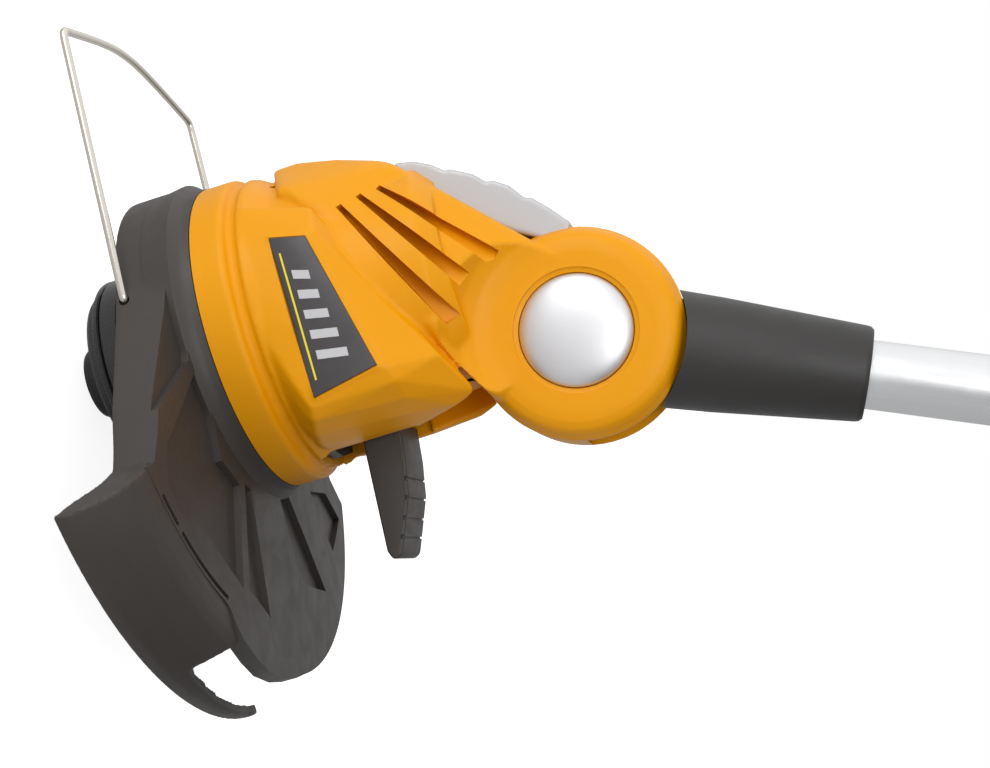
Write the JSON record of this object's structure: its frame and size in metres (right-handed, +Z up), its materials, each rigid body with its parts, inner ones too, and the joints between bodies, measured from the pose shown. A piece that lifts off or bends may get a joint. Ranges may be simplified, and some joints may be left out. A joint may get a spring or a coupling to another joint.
{
  "type": "string trimmer",
  "caption": "Cordless string trimmer with a tilting motor head, spool, debris guard with wire plant guard, telescoping tube, front loop handle and rear trigger handle with battery.",
  "frame": {"origin": "centre of the bump knob's lower face, on the motor spindle's axis", "axes": "+Z up along the motor spindle, away from the ground; +X back towards the user, the side of the skirt and the pedal; +Y to the tool's right. The shaft leaves the tilt joint at 24 degrees from +Z towards +X at rest"},
  "size_m": [0.5644, 0.2389, 0.9853],
  "materials": {
    "orange_plastic": "satin moulded orange plastic",
    "black_plastic": "fine textured charcoal plastic",
    "boot_plastic": "satin black plastic",
    "badge_inlay": "fine sparkle grey film",
    "silver_cap": "satin silver lacquer",
    "silver_plastic": "silver grey moulded plastic",
    "alloy_tube": "satin anodised",
    "nickel_wire": "nickel plated wire",
    "steel": "bright steel",
    "dark_nylon": "glass-filled nylon",
    "line_nylon": "clear nylon line",
    "cell_wrap": "shrink wrap"
  },
  "bodies": {
    "handle": {"upper_tube": "alloy_tube", "collar_base": "black_plastic", "bracket": "black_plastic", "handle_left": "black_plastic", "handle_right": "black_plastic", "handle_screw_1": "steel", "handle_screw_2": "steel", "handle_screw_3": "steel", "trigger_pin": "steel", "switch_box": "dark_nylon", "terminal_block": "dark_nylon"},
    "front_handle": {"front_handle": "black_plastic", "clamp_bolt": "steel"},
    "clamp_knob": {"clamp_knob": "black_plastic"},
    "trigger": {"trigger": "orange_plastic"},
    "lock_button": {"lock_button": "orange_plastic"},
    "battery": {"battery_case": "black_plastic", "cell_pack": "cell_wrap"},
    "battery_latch": {"battery_latch": "orange_plastic"},
    "collar": {"twist_collar": "black_plastic"},
    "lower_shaft": {"lower_tube": "alloy_tube", "knuckle": "dark_nylon", "sleeve": "boot_plastic", "tube_plug": "dark_nylon", "motor_lead": "dark_nylon"},
    "head": {"housing_left": "orange_plastic", "housing_right": "orange_plastic", "spine_cover": "silver_plastic", "badge_left": "badge_inlay", "badge_right": "badge_inlay", "pivot_cap_left": "silver_cap", "pivot_cap_right": "silver_cap", "pivot_bolt": "steel", "pivot_nut": "steel", "motor_can": "steel", "bearing_lower": "steel", "bearing_upper": "steel", "motor_mount": "dark_nylon", "motor_plate": "dark_nylon", "guard": "black_plastic", "line_cutter": "steel", "guard_screw_1": "steel", "guard_screw_2": "steel", "guard_screw_3": "steel", "housing_screw_1": "steel", "housing_screw_2": "steel", "pedal_pin": "steel", "pedal_spring": "steel"},
    "wire_guard": {"wire_guard": "nickel_wire"},
    "pedal": {"pedal": "black_plastic"},
    "spool_head": {"armature": "steel", "fan": "dark_nylon", "spool_base": "black_plastic", "line_eyelet": "steel", "line_stub": "line_nylon", "spool_cover": "black_plastic", "bump_spring": "steel"},
    "bump_knob": {"bump_knob": "black_plastic", "spool": "dark_nylon", "line_winding": "line_nylon"}
  },
  "joints": [
    {"name": "telescope", "type": "slide", "parent": "handle", "child": "lower_shaft", "axis": [-0.4067, 0, -0.9135], "range_m": [0, 0.15]},
    {"name": "collar_twist", "type": "hinge", "parent": "handle", "child": "collar", "pos_m": [0.12241, 0, 0.38084], "axis": [0.4067, 0, 0.9135], "range_deg": [0, 60]},
    {"name": "head_tilt", "type": "hinge", "parent": "lower_shaft", "child": "head", "pos_m": [0.037, 0, 0.189], "axis": [0, -1, 0], "range_deg": [0, 50]},
    {"name": "wire_guard_swing", "type": "hinge", "parent": "head", "child": "wire_guard", "pos_m": [-0.0115, 0, 0.0425], "axis": [0, 1, 0], "range_deg": [0, 50]},
    {"name": "pedal_press", "type": "hinge", "parent": "head", "child": "pedal", "pos_m": [0.01, 0, 0.1465], "axis": [0, 1, 0], "range_deg": [0, 8], "stiffness_Nm_per_rad": 6, "springref_deg": -5.73, "deforming": ["pedal_spring"]},
    {"name": "spindle_spin", "type": "hinge", "parent": "head", "child": "spool_head", "pos_m": [0, 0, 0.06], "axis": [0, 0, 1], "continuous": true},
    {"name": "bump_feed", "type": "slide", "parent": "spool_head", "child": "bump_knob", "axis": [0, 0, 1], "range_m": [0, 0.003], "stiffness_N_per_m": 900, "springref_m": -0.003, "deforming": ["bump_spring"]},
    {"name": "front_handle_tilt", "type": "hinge", "parent": "handle", "child": "front_handle", "pos_m": [0.18084, 0, 0.59565], "axis": [0, 1, 0], "range_deg": [-30, 30]},
    {"name": "clamp_turn", "type": "hinge", "parent": "front_handle", "child": "clamp_knob", "pos_m": [0.18084, 0.029, 0.59565], "axis": [0, 1, 0], "continuous": true},
    {"name": "trigger_pull", "type": "hinge", "parent": "handle", "child": "trigger", "pos_m": [0.3278, 0, 0.81264], "axis": [0, -1, 0], "range_deg": [0, 9], "stiffness_Nm_per_rad": 0.8, "springref_deg": -17.19},
    {"name": "lock_off", "type": "slide", "parent": "handle", "child": "lock_button", "axis": [0.9135, 0, -0.4067], "range_m": [0, 0.0025], "stiffness_N_per_m": 400, "springref_m": -0.002},
    {"name": "battery_slide", "type": "slide", "parent": "handle", "child": "battery", "axis": [0.9135, 0, -0.4067], "range_m": [0, 0.07]},
    {"name": "latch_press", "type": "slide", "parent": "battery", "child": "battery_latch", "axis": [-0.9135, 0, 0.4067], "range_m": [0, 0.002], "stiffness_N_per_m": 500, "springref_m": -0.002}
  ]
}
